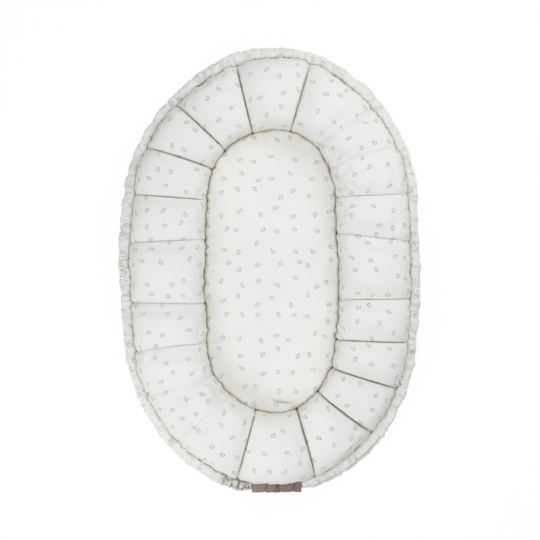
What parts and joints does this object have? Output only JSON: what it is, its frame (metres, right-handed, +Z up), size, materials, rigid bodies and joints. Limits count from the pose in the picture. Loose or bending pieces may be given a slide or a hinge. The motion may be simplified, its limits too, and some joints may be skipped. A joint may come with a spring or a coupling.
{
  "type": "infant lounger",
  "caption": "Oval padded nest for a baby to lie in: a quilted bolster of stuffed chambers round a well with a loose mattress.",
  "frame": {"origin": "on the floor, at the middle of the nest's flat underside", "axes": "+Z up, +Y towards the head end (the brown tab is at the foot end, -Y), +X to the right seen from above with the head end at the top"},
  "size_m": [0.5784, 0.8609, 0.115],
  "materials": {
    "printed_cotton": "matt woven cotton with a small scattered print",
    "plain_cotton": "matt woven cotton",
    "fibre_fill": "loose white polyester fibre",
    "foam": "soft foam",
    "brown_twill": "matt brown woven cloth",
    "elastic_cord": "woven elastic"
  },
  "bodies": {
    "nest": {"underside_cloth": "plain_cotton", "well_wadding": "fibre_fill", "well_lining": "plain_cotton", "quilt_right": "printed_cotton", "quilt_foot": "printed_cotton", "quilt_left": "printed_cotton", "quilt_head": "printed_cotton", "fill_01": "fibre_fill", "fill_02": "fibre_fill", "fill_03": "fibre_fill", "fill_04": "fibre_fill", "fill_05": "fibre_fill", "fill_06": "fibre_fill", "fill_07": "fibre_fill", "fill_08": "fibre_fill", "fill_09": "fibre_fill", "fill_10": "fibre_fill", "fill_11": "fibre_fill", "fill_12": "fibre_fill", "fill_13": "fibre_fill", "fill_14": "fibre_fill", "fill_15": "fibre_fill", "fill_16": "fibre_fill", "fill_17": "fibre_fill", "fill_18": "fibre_fill", "fill_19": "fibre_fill", "fill_20": "fibre_fill", "rim_casing": "printed_cotton", "rim_elastic": "elastic_cord", "foot_tab": "brown_twill"},
    "mattress": {"mattress_top_cloth": "printed_cotton", "mattress_base_cloth": "plain_cotton", "mattress_foam": "foam"}
  },
  "joints": [
    {"name": "mattress_lift", "type": "slide", "parent": "nest", "child": "mattress", "axis": [0, 0, 1], "range_m": [0, 0.15]}
  ]
}
